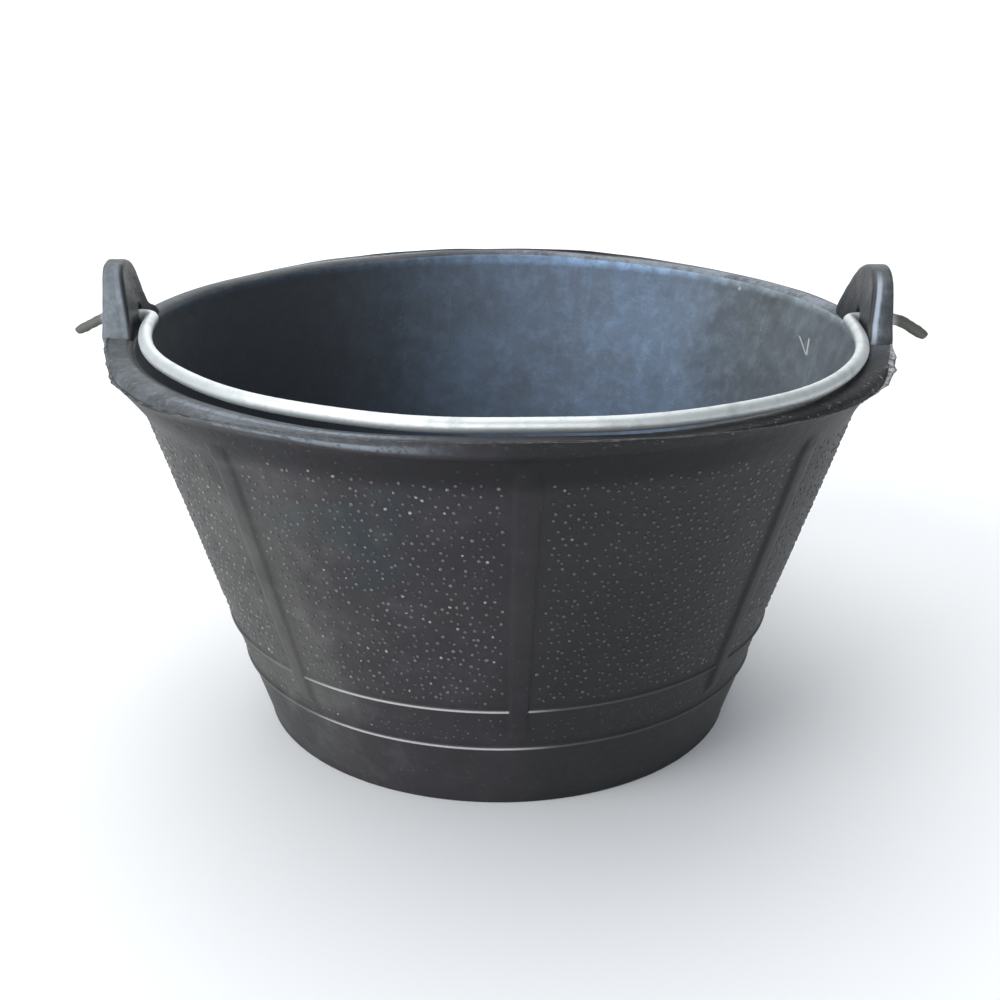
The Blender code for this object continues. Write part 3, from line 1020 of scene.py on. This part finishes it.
def outside_rubber(name):
    """Dull black rubber: painted shade under the lip, dusty with painted light that makes it
    paler to the left, and a pale bloom with painted sheen on the rim.

    The raised rings carry a painted highlight over faint wear, a thin line at the front left,
    the front has a faint oily tint, and the rim's top carries a bluish bloom with painted
    sheen, a painted highlight on its crest and small pale nicks along its outer edge.
    """
    paint = Paint(name)
    tone = colours()
    place = paint.place()
    x, y, z = paint.parts(place)
    spread = from_axis(x, y)
    to_left, to_right, to_front = (0 - x) / spread, x / spread, (0 - y) / spread
    left = to_left.step(-0.25, 0.75)
    cloud = paint.noise(place, 14.0, 5.0, 0.62)
    grain = paint.noise(place, 900.0, 3.0, 0.6)
    patch = paint.noise(place, 46.0, 4.0, 0.6)
    crumb = paint.noise(place, 330.0, 4.0, 0.7)
    base = oily_rubber(paint, place, z, to_left, to_front, patch)
    # Dust with painted light: it grows towards the left, where the light falls, and so do the dust
    # specks below.
    dust_and_light = cloud.step(0.42, 0.72) * 0.26 + patch.step(0.5, 0.75) * 0.18
    dust_and_light = dust_and_light * (0.10 + 0.90 * left) + left * 0.10
    # Painted shade under the lip: the neck is darkened, less at the left, and holds less dust.
    neck = z.step(0.176, 0.186) * (1 - z.step(0.1935, 0.1955))
    dust_and_light = dust_and_light * (0.6 + 0.8 * grain) * (1 - 0.75 * neck)
    base = paint.blend(dust_and_light, base, tone.dust_and_light)
    base = paint.blend(neck * (0.90 - 0.45 * left), base, tone.shade)
    # Painted shade on the lip's band from the front to the right.
    band = z.step(0.192, 0.194) * to_right.step(-0.12, 0.10) * to_front.step(-0.1, 0.2)
    band = band * (1 - to_right.step(0.90, 0.97))
    base = paint.blend(band * 0.70, base, tone.shade)
    speck = paint.specks(place, 210.0, 0.16) * (0.08 + 0.22 * left)
    base = paint.blend(speck, base, tone.dust_and_light)
    base = paint.blend(ring_wear_and_highlight(x, y, z, to_left, crumb), base, tone.scuff_and_glint)
    film_and_sheen = rim_bloom_and_sheen(z, spread, to_left, to_front, patch, crumb)
    base = paint.blend(film_and_sheen * (0.55 + 0.65 * grain), base, tone.bloom_and_sheen)
    nick = z.step(0.1972, 0.1990) * crumb.step(0.60, 0.68) * spread.step(0.1885, 0.1925)
    base = paint.blend(nick * (0.16 + 0.5 * to_right.step(0.1, 0.8)), base, tone.scuff_and_glint)
    rough = 0.40 + 0.16 * cloud + 0.08 * grain
    bump = paint.bumps(
        (paint.noise(place, 1400.0, 2.0, 0.5), 0.00009),
        (paint.noise(place, 240.0, 4.0, 0.6), 0.00022),
        (paint.noise(place, 60.0, 3.0, 0.5), 0.0006),
    )
    return paint.finish(
        Base_Color=base, Roughness=rough, Normal=bump, IOR=1.5, Specular_IOR_Level=0.27
    )


def flash_rubber():
    """Torn rubber of the moulding flash, scraped pale where it is widest, at the right."""
    paint = Paint("flash_rubber")
    tone = colours()
    place = paint.place()
    x = paint.parts(place)[0]
    crumb = paint.noise(place, 260.0, 4.0, 0.7)
    grain = paint.noise(place, 900.0, 3.0, 0.6)
    worn = crumb.step(0.42, 0.62) * (0.12 + 0.12 * abs(x).step(0.10, 0.185))
    worn = worn + crumb.step(0.36, 0.56) * 0.62 * x.step(0.14, 0.183)
    base = paint.blend(worn, tone.rubber_inside, tone.scuff_and_glint)
    bump = paint.bumps((grain, 0.00012))
    return paint.finish(Base_Color=base, Roughness=0.5, Normal=bump, IOR=1.5)


def pip_rubber():
    """Rubber of the pips: their crowns are paler grey in places, with painted light that pales them
    more on the left and at the right, and painted highlights on the left.
    """
    paint = Paint("pip_rubber")
    tone = colours()
    place = paint.place()
    x, y = paint.parts(place)[:2]
    to_left = (0 - x) / from_axis(x, y)
    worn = paint.noise(place, 190.0, 2.0, 0.6).step(0.36, 0.68)
    cloud = paint.noise(place, 14.0, 5.0, 0.62).step(0.42, 0.72)
    pale = 0.12 + worn * 0.62 + cloud * 0.10
    # Painted light: the pips are paler at the left, where the light falls, and at the right.
    share = 0.30 + 0.58 * to_left.step(-0.30, 0.15) + 1.10 * to_left.step(0.45, 0.90)
    share = share + 0.55 * (0 - to_left).step(0.45, 0.80)
    base = paint.blend(pale * share, tone.rubber, tone.dust_and_light)
    # Painted highlights: pale glints on pips at the left.
    pip_glints = paint.noise(place, 260.0, 1.0, 0.5).step(0.64, 0.70)
    base = paint.blend(pip_glints * 0.55 * to_left.step(-0.4, 0.1), base, tone.scuff_and_glint)
    rough = 0.42 - 0.10 * worn
    bump = paint.bumps((paint.noise(place, 1400.0, 2.0, 0.5), 0.00006))
    return paint.finish(Base_Color=base, Roughness=rough, Normal=bump, IOR=1.5)


def scratch(turned, z, mottle, start, lean, low, high):
    """A thin straight scratch that leans by some radians for each metre it climbs."""
    line = abs(turned - start - (z - low) * lean) * INSIDE_RADIUS
    mark = (1 - line.step(0.0004, 0.0011)) * z.step(low, low + 0.001)
    return mark * (1 - z.step(high - 0.001, high)) * mottle.step(0.30, 0.42)


def inside_rubber(name):
    """Smoother bluish rubber, worn by use: mottled, specked, with drag marks and scratches.

    A painted reflection of the sky lies over it: nearly absent at the left, sky blue from the
    middle on and greyer at the right, with painted sheen along the top of the inner wall.
    """
    paint = Paint(name)
    tone = colours()
    place = paint.place()
    x, y, z = paint.parts(place)
    turned = x.maths("ARCTAN2", x, y)
    shape = {"X": turned * INSIDE_RADIUS, "Y": z * 0.14, "Z": 0.0}
    wrapped = paint.node("ShaderNodeCombineXYZ", inputs=shape)
    streak = paint.noise(paint.stretched(wrapped, (1.0, 0.22, 1.0)), 230.0, 5.0, 0.65)
    cloud = paint.noise(place, 20.0, 5.0, 0.65)
    mottle = paint.noise(place, 110.0, 5.0, 0.7)
    grain = paint.noise(place, 700.0, 3.0, 0.6)
    speck = paint.specks(place, 150.0, 0.14)
    rare = paint.specks(place, 34.0, 0.05)
    # Painted reflection: almost none on the left, strong from the middle to the right, where the
    # inner wall faces the light.
    right = x.step(-0.13, 0.11)
    film_and_sheen = cloud.step(0.35, 0.75) * 0.24 + mottle.step(0.42, 0.72) * 0.18
    film_and_sheen = film_and_sheen + streak.step(0.55, 0.80) * 0.12
    film_and_sheen = film_and_sheen * (0.04 + 0.96 * right) + right * 0.24
    # Painted sheen along the top of the inner wall.
    edge = z.step(0.1960, 0.2000) * (0.15 + 0.85 * x.step(-0.08, 0.10))
    film_and_sheen = film_and_sheen + edge * (0.30 + 0.35 * mottle.step(0.35, 0.65))
    film_and_sheen = film_and_sheen * (1 - 0.85 * z.step(0.194, 0.199) * (0 - y).step(0.04, 0.11))
    grey_reflection = paint.blend(x.step(0.075, 0.160), tone.sky_reflection, tone.grey_reflection)
    base = paint.blend(film_and_sheen, tone.rubber_inside, grey_reflection)
    base = paint.blend(speck * (0.06 + 0.40 * right), base, tone.dust_and_light)
    base = paint.blend(rare * (0.35 + 0.6 * right), base, tone.scuff_and_glint)
    for line in SCRATCHES:
        base = paint.blend(scratch(turned, z, mottle, *line) * 0.9, base, tone.scratched)
    rough = 0.40 + 0.16 * cloud + 0.08 * mottle
    dents = paint.noise(place, 75.0, 3.0, 0.5)
    bump = paint.bumps((grain, 0.00012), (streak, 0.00012), (mottle, 0.00030), (dents, 0.0005))
    return paint.finish(
        Base_Color=base, Roughness=rough, Normal=bump, IOR=1.5, Specular_IOR_Level=0.5
    )


def ear_rubber(name, side):
    """Rubber of an ear: bloom and painted light on its near edge, dark on its inner face, and
    painted highlights along a corner and at its foot.
    """
    paint = Paint(name)
    tone = colours()
    place = paint.place()
    x, y, z = paint.parts(place)
    cloud = paint.noise(place, 60.0, 4.0, 0.6)
    mottle = paint.noise(place, 260.0, 4.0, 0.65)
    grain = paint.noise(place, 800.0, 3.0, 0.6)
    depth = abs(x) - EAR_FACE - (z - sizes().eye_height) * EAR_LEAN + y * y * EAR_BOW
    inner = 1 - depth.step(0.0008, 0.0026)
    near = (0 - y).step(0.006, 0.020) * (1 - inner)
    film_and_sheen = cloud.step(0.35, 0.70) * 0.24 + mottle.step(0.42, 0.70) * 0.22
    # Painted light on the near face, stronger on the left ear; on the right ear only the near face's
    # inner half is lit, and its outer half is left dark as painted shade.
    reach = 1.0 if side < 0 else 1 - 0.92 * depth.step(0.0048, 0.0078)
    near_face_light = near * (0.38 if side < 0 else 0.11) * reach
    film_and_sheen = film_and_sheen * (0.45 + 0.85 * near * reach) * (1 - 0.72 * inner) + near_face_light
    base = paint.blend(film_and_sheen, tone.rubber_inside, tone.bloom_and_sheen)
    base = paint.blend(inner * 0.55, base, tone.rubber)
    # Painted highlight on the near face along its edge with the inner face, strong on the right ear.
    corner = depth.step(0.0014, 0.0026) * (1 - depth.step(0.0036, 0.0052)) * near
    strength = 0.85 if side > 0 else 0.16
    base = paint.blend(corner * strength * (0.7 + 0.3 * mottle), base, tone.ear_edge_highlight)
    # Painted highlight: a pale line on the near face where the ear meets the rim.
    joint = 1 - abs(z - EAR_JOINT).step(0.0003, 0.0010)
    base = paint.blend(joint * near * 0.45, base, tone.bloom_and_sheen)
    base = paint.blend(paint.specks(place, 190.0, 0.15) * 0.25, base, tone.dust_and_light)
    rough = 0.34 + 0.20 * cloud
    dents = paint.noise(place, 110.0, 4.0, 0.6)
    bump = paint.bumps((grain, 0.00010), (mottle, 0.00030), (dents, 0.0005))
    return paint.finish(
        Base_Color=base, Roughness=rough, Normal=bump, IOR=1.5, Specular_IOR_Level=0.5
    )


def galvanised_wire():
    """Drawn steel wire with a matt zinc coat, tarnished in patches and at its cut ends."""
    paint = Paint("galvanised_wire")
    tone = colours()
    place = paint.place()
    x = paint.parts(place)[0]
    patch = paint.noise(place, 120.0, 4.0, 0.6)
    fine = paint.noise(place, 900.0, 3.0, 0.6)
    tails = abs(x).step(0.196, 0.203)
    dull = patch.step(0.45, 0.75) * 0.28 + x.step(-0.1, 0.2) * 0.28
    base = paint.blend(dull, tone.zinc, tone.tarnish)
    base = paint.blend(tails * 0.92, base, tone.scale)
    rough = 0.40 + 0.16 * patch + 0.10 * tails
    metal = 0.68 - 0.45 * tails
    bump = paint.bumps((fine, 0.00008), (patch, 0.00018))
    return paint.finish(Base_Color=base, Roughness=rough, Metallic=metal, Normal=bump)


def studio_ground():
    """Pale matt floor and backdrop."""
    paint = Paint("studio_ground")
    place = paint.place()
    faint = paint.noise(place, 3.0, 2.0, 0.5)
    base = paint.blend(faint * 0.05, colours().ground, colours().cloudy)
    return paint.finish(Base_Color=base, Roughness=0.9)


# ---------------------------------------------------------------- stage


def make_floor():
    """Floor that sweeps up behind the bucket: a flat run, a quarter round and a wall."""
    half, depth, bend, top = 9.0, 6.0, 2.0, 7.0
    lean = np.linspace(0.0, QUARTER, 24)
    run = np.concatenate([[-half], depth + bend * np.sin(lean), [depth + bend]])
    rise = np.concatenate([[0.0], bend * (1 - np.cos(lean)), [top]])
    across = np.linspace(-half, half, 9)
    points = np.stack(np.broadcast_arrays(across[None, :], run[:, None], rise[:, None]), axis=-1)
    mesh = bpy.data.meshes.new("studio_floor")
    quads = grid_quads(len(run), len(across), ring_columns=False)
    mesh.from_pydata(points.reshape(-1, 3).tolist(), [], quads.tolist())
    mesh.materials.append(studio_ground())
    mesh.polygons.foreach_set("use_smooth", np.ones(len(mesh.polygons), bool))
    floor = bpy.data.objects.new("studio_floor", mesh)
    bpy.context.scene.collection.objects.link(floor)


def add_light(name, place, target, size, power, tint=(1.0, 1.0, 1.0)):
    """Square soft light at a place, turned towards a target."""
    lamp = bpy.data.lights.new(name, "AREA")
    lamp.shape = "SQUARE"
    lamp.size = size
    lamp.energy = power
    lamp.color = tint
    light = bpy.data.objects.new(name, lamp)
    light.location = place
    aim = np.array(target) - np.array(place)
    light.rotation_euler = aim_angles(aim)
    bpy.context.scene.collection.objects.link(light)


def aim_angles(aim):
    """Euler angles that point an object's -Z along a direction, with its X level."""
    flat = math.hypot(aim[0], aim[1])
    return (math.atan2(flat, -aim[2]), 0.0, math.atan2(-aim[0], aim[1]))


def make_camera():
    """Camera before the bucket at standing reach, looking down on its mouth."""
    data = bpy.data.cameras.new("view_camera")
    data.lens = 52.3
    data.sensor_width = 36.0
    data.clip_start = 0.01
    data.clip_end = 100.0
    camera = bpy.data.objects.new("view_camera", data)
    camera.location = (0.0, -0.72136, 0.38253)
    camera.rotation_euler = (1.206793, -0.004392, 0.000473)
    bpy.context.scene.collection.objects.link(camera)
    bpy.context.scene.camera = camera


def make_sky():
    """Even pale light from all sides."""
    world = bpy.data.worlds.new("studio_sky")
    world.use_nodes = True
    background = world.node_tree.nodes["Background"]
    background.inputs["Color"].default_value = (0.82, 0.91, 1.0, 1.0)
    background.inputs["Strength"].default_value = 0.42
    bpy.context.scene.world = world


# ---------------------------------------------------------------- operators and panel


class BUCKET_OT_tub(bpy.types.Operator):
    """Build the tub's shell over its CAD node"""

    bl_idname = "feed_bucket.tub"
    bl_label = "Tub"

    def execute(self, context):
        make_tub()
        return {"FINISHED"}


class BUCKET_OT_pips(bpy.types.Operator):
    """Build the grip pips on the tub's panels"""

    bl_idname = "feed_bucket.pips"
    bl_label = "Grip Pips"

    def execute(self, context):
        make_pips()
        return {"FINISHED"}


class BUCKET_OT_flash(bpy.types.Operator):
    """Build the torn moulding flash round the rim"""

    bl_idname = "feed_bucket.flash"
    bl_label = "Rim Flash"

    def execute(self, context):
        make_flash()
        return {"FINISHED"}


class BUCKET_OT_ears(bpy.types.Operator):
    """Build both carrying ears over their CAD nodes"""

    bl_idname = "feed_bucket.ears"
    bl_label = "Ears"

    def execute(self, context):
        make_ears()
        return {"FINISHED"}


class BUCKET_OT_bail(bpy.types.Operator):
    """Build the wire bail over its CAD node"""

    bl_idname = "feed_bucket.bail"
    bl_label = "Bail"

    def execute(self, context):
        make_bail()
        return {"FINISHED"}


class BUCKET_OT_stage(bpy.types.Operator):
    """Build the floor, the lights and the camera"""

    bl_idname = "feed_bucket.stage"
    bl_label = "Stage"

    def execute(self, context):
        make_floor()
        middle = (0.0, 0.0, 0.12)
        add_light("key_light", (-2.5, -1.9, 1.9), middle, 2.4, 72.0, (0.97, 0.985, 1.0))
        add_light("front_light", (-0.4, -3.2, 0.75), middle, 2.2, 42.0)
        add_light("top_light", (-0.8, 1.0, 4.2), (0.0, 0.6, 0.0), 5.0, 118.0)
        add_light("back_light", (0.0, 3.6, 5.6), (0.0, 8.0, 2.2), 4.0, 420.0)
        make_sky()
        make_camera()
        context.scene.view_settings.view_transform = "Standard"
        return {"FINISHED"}


OPERATORS = (
    BUCKET_OT_tub,
    BUCKET_OT_pips,
    BUCKET_OT_flash,
    BUCKET_OT_ears,
    BUCKET_OT_bail,
    BUCKET_OT_stage,
)


class BUCKET_PT_panel(bpy.types.Panel):
    """Sidebar panel with the bucket's sizes, its colours and a button for each piece"""

    bl_idname = "BUCKET_PT_panel"
    bl_label = "Feed Bucket"
    bl_space_type = "VIEW_3D"
    bl_region_type = "UI"
    bl_category = "Feed Bucket"

    def draw(self, context):
        for group in (context.scene.bucket_sizes, context.scene.bucket_colours):
            box = self.layout.box()
            for name in group.bl_rna.properties.keys():
                if name not in ("rna_type", "name"):
                    box.prop(group, name)
        for operator in OPERATORS:
            self.layout.operator(operator.bl_idname)


CLASSES = (BucketSizes, BucketColours, *OPERATORS, BUCKET_PT_panel)


def register():
    """Register the classes and hang the settings on the scene."""
    for item in CLASSES:
        bpy.utils.register_class(item)
    bpy.types.Scene.bucket_sizes = bpy.props.PointerProperty(type=BucketSizes)
    bpy.types.Scene.bucket_colours = bpy.props.PointerProperty(type=BucketColours)


def unregister():
    """Undo what register did."""
    del bpy.types.Scene.bucket_colours
    del bpy.types.Scene.bucket_sizes
    for item in reversed(CLASSES):
        bpy.utils.unregister_class(item)


def main():
    """Build every piece in order, then the stage."""
    register()
    bpy.ops.feed_bucket.tub()
    bpy.ops.feed_bucket.pips()
    bpy.ops.feed_bucket.flash()
    bpy.ops.feed_bucket.ears()
    bpy.ops.feed_bucket.bail()
    bpy.ops.feed_bucket.stage()


if __name__ == "__main__":
    main()
